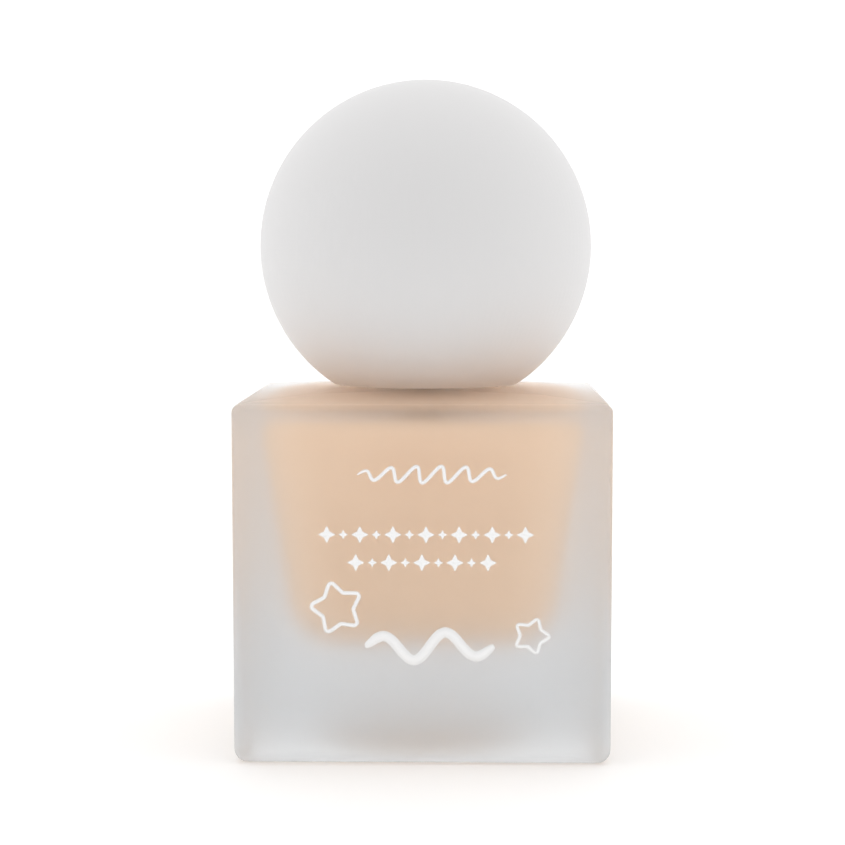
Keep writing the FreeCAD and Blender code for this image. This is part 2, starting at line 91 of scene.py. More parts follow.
class GlassSettings(bpy.types.PropertyGroup):
    """Sizes and finish of the glass bottle; its outside width and its neck come from the frame."""
    edge_height: length("Edge Height", "Height of the shoulder's outer edges", 43.9)
    crown_rise: length("Crown Rise", "How far the shoulder rises to the neck", 1.2)
    corner: length("Corner Radius", "Radius of the upright corners", 1.6)
    top_edge: length("Top Edge Radius", "Radius of the shoulder's edges", 1.1)
    foot_edge: length("Foot Edge Radius", "Radius of the foot's edges", 1.7)
    wall: length("Wall", "Glass beside the top of the cavity", 3.0)
    ceiling: length("Shoulder Thickness", "Glass over the cavity", 2.1)
    base: length("Base Thickness", "Glass under the cavity", 13.5)
    taper: bpy.props.FloatProperty(
        name="Cavity Taper", description="Lean of the cavity's sides", default=math.radians(7.7),
        subtype="ANGLE")
    cavity_corner: length("Cavity Corner", "Radius of the cavity's upright corners", 7.0)
    cavity_top_edge: length("Cavity Top Edge", "Radius round the cavity's ceiling", 1.5)
    cavity_floor_edge: length("Cavity Floor Edge", "Radius round the cavity's floor", 6.0)
    bore: length("Neck Bore", "Radius of the neck's bore", 4.2)
    etch: bpy.props.FloatProperty(
        name="Etch Roughness", description="Roughness of the etched outside", default=0.68, min=0, max=1,
        subtype="FACTOR")
    tint: colour("Glass Tint", "Colour that light keeps on its way through the glass", "004661")
    density: bpy.props.FloatProperty(
        name="Glass Density", description="How strongly a metre of glass absorbs", default=11, min=0)


class LiquidSettings(bpy.types.PropertyGroup):
    """The foundation inside the glass."""
    shade: colour("Shade", "Colour of the foundation", "FADCC0")
    # Painted light: an emission in the cream's own shade that brightens the foundation, though it is no lamp.
    glow: bpy.props.FloatProperty(
        name="Painted Glow", description="Painted light that the cream gives off, though it is no lamp",
        default=0.06, min=0)


class OvercapSettings(bpy.types.PropertyGroup):
    """The hollow ball over the pump; its size and place come from the frame."""
    wall: length("Wall", "Wall of the ball", 1.8)
    boss_wall: length("Boss Wall", "Wall of the ring round the opening", 1.2)
    boss_height: length("Boss Height", "Height of that ring over the ball's base", 4.5)
    lip: length("Base Edge Radius", "Radius of the ball's lower edge", 0.35)
    lacquer: colour("Lacquer", "Colour of the soft-touch lacquer", "E2E1E1")


class PumpSettings(bpy.types.PropertyGroup):
    """What shows of the pump when the ball is off."""
    sleeve_wall: length("Sleeve Wall", "Sheet of the collar's sleeve", 0.45)
    sleeve_lip: length("Sleeve Lip", "How far the sleeve turns in at its top", 1.6)
    softening: length("Moulded Edge", "Grid that rounds the actuator's edges", 0.15)
    wire: length("Spring Wire", "Radius of the return spring's wire", 0.26)
    coils: bpy.props.FloatProperty(
        name="Spring Coils", description="Turns of the return spring", default=6.5, min=1)
    stroke: length("Stroke", "Travel of the pump", 5.0)
    resin: colour("White Resin", "Colour of the white mouldings", "F2F2F0")
    metal: colour("Sleeve Metal", "Colour of the anodised sleeve", "D9DADC")


class PrintSettings(bpy.types.PropertyGroup):
    """The white printing on the front of the glass."""
    ink: colour("Ink", "Colour of the ink", "FFFFFF")
    film: length("Ink Film", "Thickness of the printed ink", 0.04)
    stroke: length("Line Width", "Width of the printed outlines", 0.46)


class StageSettings(bpy.types.PropertyGroup):
    """Floor, lights and camera."""
    floor: colour("Floor", "Colour of the floor", "F4F4F4")
    floor_radius: length("Floor Radius", "Radius of the floor", 1500)
    floor_glow: bpy.props.FloatProperty(
        name="Floor Glow", description="Light that the floor gives off", default=0.14, min=0)
    surround: bpy.props.FloatProperty(
        name="Surround Light", description="Strength of the white surround", default=1.17, min=0)
    front: bpy.props.FloatProperty(
        name="Front Share", description="Surround light from the camera's side", default=0.44, min=0, max=1,
        subtype="FACTOR")
    softbox: bpy.props.FloatProperty(
        name="Softbox Power", description="Power of the softbox overhead, in watts", default=0.3, min=0)
    lens: bpy.props.FloatProperty(name="Lens", description="Focal length in millimetres", default=96.64)


# ---------------------------------------------------------------- outlines

def rounded(corners, arc_step=12):
    """Points of an open outline from (across, height, radius) corners, with an arc in place of each."""
    points = []
    for i, (x, z, radius) in enumerate(corners):
        if radius == 0:
            points.append((x, z))
            continue
        before = (corners[i - 1][0] - x, corners[i - 1][1] - z)
        after = (corners[i + 1][0] - x, corners[i + 1][1] - z)
        start, end = math.atan2(before[1], before[0]), math.atan2(after[1], after[0])
        opening = (end - start + math.pi) % (2 * math.pi) - math.pi
        tangent = radius / math.tan(abs(opening) / 2)
        reach = math.hypot(radius, tangent)
        middle = start + opening / 2
        centre = (x + reach * math.cos(middle), z + reach * math.sin(middle))
        sweep = math.copysign(math.pi - abs(opening), -opening)
        first = start - math.copysign(math.pi / 2, opening)
        steps = max(2, round(math.degrees(abs(sweep)) / arc_step))
        for k in range(steps + 1):
            angle = first + sweep * k / steps
            points.append((centre[0] + radius * math.cos(angle), centre[1] + radius * math.sin(angle)))
    return points


def arc(radius, height, start, end, step=1.6):
    """Points of an arc round (0, height) between two angles in degrees."""
    count = max(2, round(abs(end - start) / step))
    angles = [math.radians(start + (end - start) * i / count) for i in range(count + 1)]
    return [(radius * math.cos(a), height + radius * math.sin(a), 0) for a in angles]


def with_guards(points, gap=0.35, longest=2.0):
    """The outline with an extra point near both ends of each long run, which keeps its shading flat."""
    guarded = [points[0]]
    for (x0, z0), (x1, z1) in zip(points, points[1:]):
        run = math.hypot(x1 - x0, z1 - z0)
        if run > longest:
            for share in (gap / run, 1 - gap / run):
                guarded.append((x0 + (x1 - x0) * share, z0 + (z1 - z0) * share))
        guarded.append((x1, z1))
    return guarded


def sphere_drop(across, radius):
    """How far a sphere's surface lies under its top at that distance from its axis."""
    return radius - math.sqrt(radius**2 - across**2)


def dome_radius(half_width, rise):
    """Radius of the arc that rises by rise over half_width."""
    return (half_width**2 + rise**2) / (2 * rise)


# ---------------------------------------------------------------- nodes

def add_node(tree, kind, inputs=(), **settings):
    """Adds a node; its inputs, by name or in order, are constants, sockets, or nodes to link from."""
    node = tree.nodes.new(kind)
    for name, value in settings.items():
        setattr(node, name, value)
    for key, value in (inputs.items() if isinstance(inputs, dict) else enumerate(inputs)):
        if isinstance(value, bpy.types.Node):
            value = value.outputs[0]
        if isinstance(value, bpy.types.NodeSocket):
            tree.links.new(value, node.inputs[key])
        elif value is not None:
            node.inputs[key].default_value = value
    return node


def new_tree(name, sockets):
    """A geometry node group with the named inputs (name to socket type), and its input node."""
    tree = bpy.data.node_groups.new(name, "GeometryNodeTree")
    tree.interface.new_socket("Geometry", in_out="INPUT", socket_type="NodeSocketGeometry")
    tree.interface.new_socket("Geometry", in_out="OUTPUT", socket_type="NodeSocketGeometry")
    for socket, kind in sockets.items():
        tree.interface.new_socket(socket, in_out="INPUT", socket_type="NodeSocket" + kind)
    return tree, tree.nodes.new("NodeGroupInput").outputs


def finish_tree(tree, geometry, material):
    """Ends a geometry node group: real geometry with its material."""
    real = add_node(tree, "GeometryNodeRealizeInstances", {"Geometry": geometry})
    painted = add_node(tree, "GeometryNodeSetMaterial", {"Geometry": real, "Material": material})
    add_node(tree, "NodeGroupOutput", [painted])
    return tree


def grow(name, tree, values, points=()):
    """A plain mesh object made by the node group, from points in millimetres and the named inputs."""
    mesh = bpy.data.meshes.new(name)
    corners = [tuple(v * MM for v in p) for p in points]
    mesh.from_pydata(corners, [(i, i + 1) for i in range(len(corners) - 1)], [])
    piece = bpy.data.objects.new(name, mesh)
    bpy.context.scene.collection.objects.link(piece)
    modifier = piece.modifiers.new(name, "NODES")
    modifier.node_group = tree
    for item in tree.interface.items_tree:
        if item.in_out == "INPUT" and item.name in values:
            modifier[item.identifier] = values[item.name]
    grown = bpy.data.meshes.new_from_object(piece.evaluated_get(bpy.context.evaluated_depsgraph_get()))
    piece.modifiers.remove(modifier)
    piece.data = grown
    grown.name = name
    while None in grown.materials[:]:
        grown.materials.pop(index=grown.materials[:].index(None))
    if not grown.polygons:
        raise RuntimeError(f"{name} came out empty")
    return piece


def place(piece, body, nodes=()):
    """Hands a finished piece to the frame: its body and the CAD nodes that it stands for."""
    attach(piece, body)
    if nodes:
        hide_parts(*nodes)


def square_loft():
    """Lays a rounded square round Z at each profile point, given as (half width, corner radius, height).

    Where the corner radius equals the half width the square is a circle, so turned pieces are made by
    the same group. On the wall at Thread Root it can raise a right-hand screw thread.
    """
    tree, given = new_tree("square_loft", {
        "Corner Points": "Int", "Inner From": "Int", "Material": "Material",
        "Thread Root": "Float", "Thread Foot": "Float", "Thread Depth": "Float", "Thread Pitch": "Float",
        "Thread Turns": "Float", "Thread Base": "Float", "Thread Crest": "Float"})
    per_corner = given["Corner Points"]
    count = add_node(tree, "GeometryNodeAttributeDomainSize", [given["Geometry"]])
    columns = add_node(tree, "ShaderNodeMath", [per_corner, 4, 1], operation="MULTIPLY_ADD")
    grid = add_node(tree, "GeometryNodeMeshGrid", {"Vertices X": columns, "Vertices Y": count})

    index = add_node(tree, "GeometryNodeInputIndex")
    share = add_node(tree, "ShaderNodeMath", [index, 0.5], operation="ADD")
    share = add_node(tree, "ShaderNodeMath", [share, count], operation="DIVIDE")
    column = add_node(tree, "ShaderNodeMath", [share], operation="FLOOR")
    before = add_node(tree, "ShaderNodeMath", [column, count], operation="MULTIPLY")
    row = add_node(tree, "ShaderNodeMath", [index, before], operation="SUBTRACT")

    # Each corner's first and last columns stand on the flats beside it, at an angle held to 0 or 90.
    side = add_node(tree, "ShaderNodeMath", [column, 0.5], operation="ADD")
    side = add_node(tree, "ShaderNodeMath", [side, per_corner], operation="DIVIDE")
    quarter = add_node(tree, "ShaderNodeMath", [side], operation="FLOOR")
    passed = add_node(tree, "ShaderNodeMath", [quarter, per_corner], operation="MULTIPLY")
    step = add_node(tree, "ShaderNodeMath", [column, passed], operation="SUBTRACT")
    step = add_node(tree, "ShaderNodeMath", [step, 1], operation="SUBTRACT")
    spans = add_node(tree, "ShaderNodeMath", [per_corner, 3], operation="SUBTRACT")
    swung = add_node(tree, "ShaderNodeMath", [step, spans], operation="DIVIDE")
    held = add_node(tree, "ShaderNodeClamp", [swung, 0, 1])
    slide = add_node(tree, "ShaderNodeMath", [swung, held], operation="SUBTRACT")
    slide = add_node(tree, "ShaderNodeMath", [slide, spans], operation="MULTIPLY")
    corner_angle = add_node(tree, "ShaderNodeMath", [quarter, math.pi / 2], operation="MULTIPLY")
    angle = add_node(tree, "ShaderNodeMath", [held, math.pi / 2, corner_angle], operation="MULTIPLY_ADD")

    position = add_node(tree, "GeometryNodeInputPosition")
    profile = add_node(
        tree, "GeometryNodeSampleIndex",
        {"Geometry": given["Geometry"], "Value": position, "Index": row}, data_type="FLOAT_VECTOR")
    point = add_node(tree, "ShaderNodeSeparateXYZ", [profile]).outputs
    flat = add_node(tree, "ShaderNodeMath", [point["X"], point["Y"]], operation="SUBTRACT")

    turns = add_node(tree, "ShaderNodeMath", [angle, 2 * math.pi], operation="DIVIDE")
    level = add_node(tree, "ShaderNodeMath", [point["Z"], given["Thread Foot"]], operation="SUBTRACT")
    level = add_node(tree, "ShaderNodeMath", [level, given["Thread Pitch"]], operation="DIVIDE")
    level = add_node(tree, "ShaderNodeMath", [level, turns], operation="SUBTRACT")
    nearest = add_node(tree, "ShaderNodeMath", [level], operation="ROUND")
    away = add_node(tree, "ShaderNodeMath", [level, nearest], operation="SUBTRACT")
    away = add_node(tree, "ShaderNodeMath", [away, given["Thread Pitch"]], operation="MULTIPLY")
    away = add_node(tree, "ShaderNodeMath", [away], operation="ABSOLUTE")
    ridge = add_node(
        tree, "ShaderNodeMapRange", {
            "Value": away,
            "From Min": add_node(tree, "ShaderNodeMath", [given["Thread Base"], 0.5], operation="MULTIPLY"),
            "From Max": add_node(tree, "ShaderNodeMath", [given["Thread Crest"], 0.5], operation="MULTIPLY"),
            "To Min": 0.0, "To Max": given["Thread Depth"]}, interpolation_type="SMOOTHSTEP")
    run = add_node(tree, "ShaderNodeMath", [turns, nearest], operation="ADD")
    left = add_node(tree, "ShaderNodeMath", [given["Thread Turns"], run], operation="SUBTRACT")
    run_in = add_node(tree, "ShaderNodeMath", [run, left], operation="MINIMUM")
    run_in = add_node(
        tree, "ShaderNodeMapRange", {"Value": run_in, "From Max": THREAD_RUN_IN},
        interpolation_type="SMOOTHSTEP")
    on_wall = add_node(
        tree, "ShaderNodeMath", [point["X"], given["Thread Root"], FINE * MM], operation="COMPARE")
    rise = add_node(tree, "ShaderNodeMath", [ridge, run_in], operation="MULTIPLY")
    radius = add_node(tree, "ShaderNodeMath", [rise, on_wall, point["Y"]], operation="MULTIPLY_ADD")

    guard = add_node(tree, "ShaderNodeMath", [flat, FLAT_GUARD], operation="MULTIPLY")
    guard = add_node(tree, "ShaderNodeMath", [guard, slide], operation="MULTIPLY")
    centre = add_node(tree, "ShaderNodeCombineXYZ", [flat, flat, 0])
    centre = add_node(
        tree, "ShaderNodeVectorRotate", {"Vector": centre, "Angle": corner_angle}, rotation_type="Z_AXIS")
    spoke = add_node(tree, "ShaderNodeCombineXYZ", [radius, guard, point["Z"]])
    spoke = add_node(tree, "ShaderNodeVectorRotate", {"Vector": spoke, "Angle": angle},
                     rotation_type="Z_AXIS")
    spot = add_node(tree, "ShaderNodeVectorMath", [centre, spoke], operation="ADD")

    outer = add_node(tree, "ShaderNodeMath", [row, given["Inner From"]], operation="LESS_THAN")
    marked = add_node(tree, "GeometryNodeStoreNamedAttribute", {
        "Geometry": grid, "Name": OUTSIDE, "Value": outer}, data_type="FLOAT", domain="POINT")
    laid = add_node(tree, "GeometryNodeSetPosition", {"Geometry": marked, "Position": spot})
    joined = add_node(tree, "GeometryNodeMergeByDistance", {"Geometry": laid, "Distance": FINE * MM})
    bend = add_node(tree, "GeometryNodeInputMeshEdgeAngle")
    soft = add_node(tree, "FunctionNodeCompare", {"A": bend, "B": SMOOTH_ANGLE},
                    data_type="FLOAT", operation="LESS_EQUAL")
    shaded = add_node(tree, "GeometryNodeSetShadeSmooth", {"Geometry": joined, "Shade Smooth": soft},
                      domain="EDGE")
    return finish_tree(tree, shaded, given["Material"])


OUTSIDE = "outside"  # the mesh attribute that is 1 on a piece's outer skin and 0 inside
THREAD_RUN_IN = 0.09  # turns over which a thread rises at each end
FLAT_GUARD = 0.05  # share of a flat side between a corner and its guard column
NEVER = 10**6  # an Inner From past every profile's last point


def loft(name, profile, material, corner_points=26, inner_from=NEVER, thread=None):
    """A piece lofted from (half width, corner radius, height) points in millimetres."""
    values = {
        "Corner Points": corner_points, "Inner From": inner_from, "Material": material,
        "Thread Pitch": 1.0, **(thread or {})}  # a pitch that isn't zero, because the group divides by it
    tree = bpy.data.node_groups.get("square_loft") or square_loft()
    return grow(name, tree, values, profile)


def turned(outline):
    """The outline's points as circles for loft()."""
    return [(x, x, z) for x, z in outline]


# ---------------------------------------------------------------- materials

def new_material(name):
    """An empty material, its tree, and an Object coordinate socket."""
    material = bpy.data.materials.new(name)
    material.use_nodes = True
    material.node_tree.nodes.clear()
    coordinates = add_node(material.node_tree, "ShaderNodeTexCoord")
    return material, material.node_tree, coordinates.outputs["Object"]


def finish_material(tree, shader, volume=None, **settings):
    """Sets constants on the shader's own sockets and links it to the output."""
    for name, value in settings.items():
        shader.inputs[name.replace("_", " ")].default_value = value
    add_node(tree, "ShaderNodeOutputMaterial", [shader, volume])


def grain_scale(size):
    """The Scale of a noise texture whose grains are about that many millimetres."""
    return 1 / (size * MM)


def skin(tree, relief, patches, strength, depth, rough):
    """A shader with a fine relief, depth in mm, whose roughness runs between two values with its patches."""
    drift = add_node(tree, "ShaderNodeMapRange", {"Value": patches, "To Min": rough[0], "To Max": rough[1]})
    bump = add_node(tree, "ShaderNodeBump", {"Height": relief, "Strength": strength, "Distance": depth * MM})
    return add_node(tree, "ShaderNodeBsdfPrincipled", {"Roughness": drift, "Normal": bump})


def etched_glass(settings):
    """Flint glass, moulded and then dipped in acid, which frosts its outside and leaves the inside clear.

    The etch leaves a skin of tiny facets: what lies behind is blurred more the deeper it is, highlights
    spread wide, and close up the skin is faintly sandy. The real facets are about 0.02 mm; they are drawn
    0.12 mm wide so that they show. The thick base takes a little light away, as a block of glass does.
    """
    material, tree, place_at = new_material("acid_etched_glass")
    outside = add_node(tree, "ShaderNodeAttribute", attribute_name=OUTSIDE).outputs["Fac"]
    facets = add_node(tree, "ShaderNodeTexNoise", {"Vector": place_at, "Scale": grain_scale(0.12),
                                                   "Detail": 3.0})
    drift = add_node(tree, "ShaderNodeTexNoise", {"Vector": place_at, "Scale": grain_scale(9),
                                                  "Detail": 2.0})
    uneven = 0.02  # how far the etch's roughness strays from place to place
    etched = add_node(tree, "ShaderNodeMapRange", {
        "Value": drift, "From Min": 0.3, "From Max": 0.7,
        "To Min": settings.etch - uneven, "To Max": settings.etch + uneven})
    strength = add_node(tree, "ShaderNodeMath", [outside, 0.12], operation="MULTIPLY")
    shader = skin(tree, facets, outside, strength, depth=0.02, rough=(POLISHED, etched))
    depth = add_node(tree, "ShaderNodeVolumeAbsorption", {
        "Color": (*settings.tint, 1), "Density": settings.density})
    finish_material(tree, shader, depth, Base_Color=(1, 1, 1, 1), IOR=1.5, Transmission_Weight=1.0)
    return material


POLISHED = 0.06  # roughness of glass as the mould and the flame leave it


def foundation_cream(settings):
    """Liquid foundation: a pigmented emulsion, opaque and creamy, with faint streaks of settling pigment."""
    material, tree, place_at = new_material("foundation_emulsion")
    stretched = add_node(tree, "ShaderNodeMapping", {"Vector": place_at, "Scale": (1, 1, 0.35)})
    streaks = add_node(tree, "ShaderNodeTexNoise", {"Vector": stretched, "Scale": grain_scale(7),
                                                    "Detail": 4.0, "Distortion": 0.6})
    darker = [c * 0.95 for c in settings.shade]
    shade = add_node(tree, "ShaderNodeMix", {"Factor": streaks, 6: (*darker, 1), 7: (*settings.shade, 1)},
                     data_type="RGBA")
    shader = add_node(tree, "ShaderNodeBsdfPrincipled", {"Base Color": shade.outputs[2]})
    # Painted light: the emission makes the cream give off light in its own shade, though it is no lamp.
    finish_material(tree, shader, Roughness=0.5, IOR=1.42, Specular_IOR_Level=0.3,
                    Emission_Color=(*settings.shade, 1), Emission_Strength=settings.glow)
    return material


def soft_touch_lacquer(settings):
    """Soft-touch lacquer sprayed on ABS: matt and silky, a soft glow at grazing angles, fine orange peel.

    The peel's grains are 0.3 mm apart, as a spray gun leaves them.
    """
    material, tree, place_at = new_material("soft_touch_lacquer")
    peel = add_node(tree, "ShaderNodeTexNoise", {"Vector": place_at, "Scale": grain_scale(0.3),
                                                 "Detail": 2.0})
    cloud = add_node(tree, "ShaderNodeTexNoise", {"Vector": place_at, "Scale": grain_scale(12)})
    shader = skin(tree, peel, cloud, strength=0.1, depth=0.02, rough=(0.56, 0.64))
    finish_material(tree, shader, Base_Color=(*settings.lacquer, 1), IOR=1.46, Sheen_Weight=0.08,
                    Sheen_Roughness=0.4, Specular_IOR_Level=0.4)
    return material


def moulded_resin(name, shade, rough, subsurface=0.0, grain=0.25):
    """Injection-moulded plastic: an even skin with the fine spark texture of its steel mould."""
    material, tree, place_at = new_material(name)
    spark = add_node(tree, "ShaderNodeTexNoise", {"Vector": place_at, "Scale": grain_scale(grain),
                                                  "Detail": 2.0})
    flow = add_node(tree, "ShaderNodeTexNoise", {"Vector": place_at, "Scale": grain_scale(5)})
    shader = skin(tree, spark, flow, strength=0.1, depth=0.01, rough=(rough - 0.04, rough + 0.04))
    finish_material(tree, shader, Base_Color=(*shade, 1), IOR=1.49, Subsurface_Weight=subsurface,
                    Subsurface_Radius=(1.0, 0.9, 0.8), Subsurface_Scale=0.8 * MM)
    return material


def brushed_metal(name, shade, rough, line=0.08):
    """Metal finished while it turns or is drawn: fine level lines that stretch its highlights."""
    material, tree, place_at = new_material(name)
    squeezed = add_node(tree, "ShaderNodeMapping", {"Vector": place_at, "Scale": (0.02, 0.02, 1)})
    lines = add_node(tree, "ShaderNodeTexNoise", {"Vector": squeezed, "Scale": grain_scale(line),
                                                  "Detail": 3.0})
    shader = skin(tree, lines, lines, strength=0.15, depth=0.01, rough=(rough - 0.06, rough + 0.06))
    finish_material(tree, shader, Base_Color=(*shade, 1), Metallic=1.0)
    return material


def printed_ink(settings):
    """White screen ink cured on the glass: opaque, a little glossier than the etch, with the mesh's weave.

    The screen has about 4 threads to the millimetre, so the weave is 0.25 mm.
    """
    material, tree, place_at = new_material("cured_screen_ink")
    weave = add_node(tree, "ShaderNodeTexVoronoi", {"Vector": place_at, "Scale": grain_scale(0.25)})
    shader = skin(tree, weave, weave, strength=0.08, depth=0.01, rough=(0.4, 0.5))
    finish_material(tree, shader, Base_Color=(*settings.ink, 1), IOR=1.5)
    return material


# ---------------------------------------------------------------- pieces

class BOTTLE_OT_glass(bpy.types.Operator):
    """Makes the square glass bottle with its vaulted shoulder, cavity, punt and threaded neck"""
    bl_idname = "bottle.glass"
    bl_label = "Glass Bottle"

    def execute(self, context):
        settings = context.scene.bottle_glass
        half, land = node_box("glass_bottle")[1][0], node_box("glass_bottle")[1][2]
        neck = node_box("neck_gasket")[1][0]
        edge, rise = settings.edge_height / MM, settings.crown_rise / MM
        foot, bore = settings.foot_edge / MM, settings.bore / MM
        crown, vault = edge + rise, dome_radius(half, rise)
        punt = dome_radius(PUNT_RADIUS, PUNT_DEPTH)
        outside = [(x, PUNT_DEPTH - sphere_drop(x, punt), 0) for x in range(0, int(PUNT_RADIUS), 2)]
        outside += [(PUNT_RADIUS, 0, PUNT_ROUND), (half, 0, foot), (half, edge, settings.top_edge / MM)]
        slope = [half - SLOPE_START - SLOPE_STEP * i for i in range(SLOPE_ROWS)]
        outside += [(x, crown - sphere_drop(x, vault), 0) for x in slope]
        outside += [(neck, crown - sphere_drop(neck, vault), NECK_ROOT), (neck, land, LAND_OUTER),
                    (bore, land, LAND_INNER)]
        inside, corner = cavity_outline(settings, half, 0)
        inside = [(bore, inside[0][1], BORE_FOOT), *inside[1:]]
        points = with_guards(rounded([*outside, *inside]))

        def corner_radius(x, z, within):
            on_neck = z > crown + NECK_ABOVE or x < neck + NECK_BLEND
            if on_neck or (z < PUNT_DEPTH and x <= PUNT_RADIUS + PUNT_BLEND):
                return x
            if within:
                return corner(x, z)
            if z > edge - foot:
                share = min(1, max(0, (SQUARE_FROM - x) / (SQUARE_FROM - ROUND_UNDER)))
                return RIDGE + (x - RIDGE) * share**2 * (3 - 2 * share)
            return max(settings.corner / MM - (half - x), RIDGE)

        lip = max(range(len(points)), key=lambda i: points[i][1] - points[i][0] * FINE)
        profile = [(x, corner_radius(x, z, i > lip), z) for i, (x, z) in enumerate(points)]
        profile, inner_from = with_thread_rows(profile, neck, crown, land)
        piece = loft(
            "frosted_glass_bottle", profile, etched_glass(settings), GLASS_CORNER_POINTS, inner_from, {
                "Thread Root": neck * MM,
                "Thread Foot": (land - THREAD_GAP - THREAD_TURNS * THREAD_PITCH) * MM,
                "Thread Depth": THREAD_DEPTH * MM, "Thread Pitch": THREAD_PITCH * MM,
                "Thread Turns": THREAD_TURNS, "Thread Base": THREAD_BASE * MM,
                "Thread Crest": THREAD_CREST * MM})
        place(piece, "bottle", ["glass_bottle"])
        return {"FINISHED"}


GLASS_CORNER_POINTS = 18  # points round each corner of the glass and of the liquid
RIDGE = 0.45  # softness of the ridges between the shoulder's slopes
SLOPE_START, SLOPE_STEP, SLOPE_ROWS = 3, 0.75, 17  # rows of points up the shoulder, from its edge in
SQUARE_FROM, ROUND_UNDER = 15, 8  # the shoulder is square outside the first radius, round in the second
PUNT_RADIUS, PUNT_DEPTH = 15.0, 1.2  # the hollow under the foot
PUNT_ROUND, PUNT_BLEND = 0.8, 0.5  # radius of the edge round the punt, and how far out it is round
NECK_ROOT, NECK_BLEND = 0.5, 0.7  # fillet at the neck's root, and how far out its rows are round
NECK_ABOVE = 0.2  # height over the shoulder's crown from which every row is the neck's
LAND_OUTER, LAND_INNER = 0.45, 0.35  # radii of the edges of the neck's sealing land
BORE_FOOT = 0.5  # fillet where the bore opens into the cavity
THREAD_PITCH, THREAD_TURNS, THREAD_DEPTH = 2.54, 1.5, 0.75  # the neck's screw thread
THREAD_GAP = 2.0  # from the sealing land to the thread's upper end
THREAD_BASE, THREAD_CREST = 1.5, 0.7  # widths of the thread at its root and at its crest


def with_thread_rows(profile, neck, low, high, spacing=0.14):
    """Adds rows up the neck's outer wall for the thread; also gives the row where the inside starts."""
    rows = []
    for here, there in zip(profile, profile[1:]):
        rows.append(here)
        if abs(here[0] - neck) < FINE and abs(there[0] - neck) < FINE and here[2] > low:
            count = int((there[2] - here[2]) / spacing)
            rows += [(neck, neck, here[2] + (there[2] - here[2]) * i / count) for i in range(1, count)]
    rows.append(profile[-1])
    inner_from = max(i for i, row in enumerate(rows) if row[2] > high - FINE) + 1
    return rows, inner_from


def cavity_outline(settings, half, swell):
    """The cavity's (half width, height, radius) corners from its ceiling down, and its corner rule."""
    ceiling = (settings.edge_height - settings.ceiling) / MM + swell
    floor = settings.base / MM - swell
    bore, top = settings.bore / MM, half - settings.wall / MM + swell
    low = top - (ceiling - floor) * math.tan(settings.taper)
    corner = settings.cavity_corner / MM + swell
    outline = [
        (bore, ceiling, 0), (top, ceiling, settings.cavity_top_edge / MM + swell),
        (low, floor, settings.cavity_floor_edge / MM + swell), (0, floor, 0)]

    def corner_radius(x, z):
        wall = top - (ceiling - z) * math.tan(settings.taper)
        return min(x, max(corner - (wall - x), LEAST_CORNER)) if x > LEAST_CORNER else x

    return outline, corner_radius


LEAST_CORNER = 1.0  # smallest corner radius of the cavity, and half width under which it is round


class BOTTLE_OT_liquid(bpy.types.Operator):
    """Makes the foundation, which fills the cavity round the pump"""
    bl_idname = "bottle.liquid"
    bl_label = "Foundation"

    def execute(self, context):
        glass, settings = context.scene.bottle_glass, context.scene.bottle_liquid
        half = node_box("glass_bottle")[1][0]
        outline, corner = cavity_outline(glass, half, WETTING)
        tube, housing = node_box("dip_tube"), node_box("pump_housing")
        passage = node_box("ball_cage")[1][0] + BARREL_ROOM
        tube_passage = tube[1][0] + PUMP_ROOM
        top, shelf, foot = outline[0][1], housing[0][2] - PUMP_ROOM, tube[0][2] - PUMP_ROOM
        filled = with_guards(rounded([(passage, top, 0), *outline[1:]]))[::-1]
        profile = [(x, corner(x, z), z) for x, z in filled[:-1]]
        profile += turned([(passage, top), (passage, shelf), (tube_passage, shelf), (tube_passage, foot),
                           (0, foot)])
        piece = loft("foundation_fill", profile, foundation_cream(settings), GLASS_CORNER_POINTS)
        place(piece, "bottle", ["foundation_liquid"])
        return {"FINISHED"}


WETTING = 0.04  # the liquid wets the glass, so its skin lies just inside the glass
PUMP_ROOM = 0.3  # liquid's passage round the pump's tube
BARREL_ROOM = 1.2  # from the pump's inlet cage to the liquid's passage round the barrel


class BOTTLE_OT_overcap(bpy.types.Operator):
    """Makes the hollow ball: one lacquered skin over its two welded halves, with its opening and boss"""
    bl_idname = "bottle.overcap"
    bl_label = "Ball Overcap"

    def execute(self, context):
        settings = context.scene.bottle_overcap
        low, high = node_box("ball_lower_shell")[0], node_box("ball_upper_shell")[1]
        radius, base = high[0], low[2]
        centre = high[2] - radius
        inner = radius - settings.wall / MM
        opening = node_box("cap_inner_sleeve")[1][0] + SEAT_GAP
        boss, boss_top = opening + settings.boss_wall / MM, base + settings.boss_height / MM
        inner_end = -math.degrees(math.acos(boss / inner))
        outer_start = -math.degrees(math.asin((centre - base) / radius))
        foot = radius * math.cos(math.radians(outer_start))
        outline = rounded([
            *arc(inner, centre, 90, inner_end), (boss, boss_top, BOSS_ROUND),
            (opening, boss_top, BOSS_ROUND), (opening, base, MOUTH_ROUND), (foot, base, settings.lip / MM),
            *arc(radius, centre, outer_start + CLEAR_OF_LIP, 90)])
        profile = turned(with_guards(outline))
        piece = loft("ball_overcap", profile, soft_touch_lacquer(settings), BALL_CORNER_POINTS)
        place(piece, "ball_cap", ["ball_upper_shell", "ball_lower_shell"])
        return {"FINISHED"}


SEAT_GAP = 0.02  # between two pieces that sit against each other
BOSS_ROUND, MOUTH_ROUND = 0.3, 0.25  # radii of the boss's edges and of the opening's lower edge
CLEAR_OF_LIP = 4  # degrees between the lip and the first point of the ball's arc
BALL_CORNER_POINTS = 38  # a quarter of the points round the ball


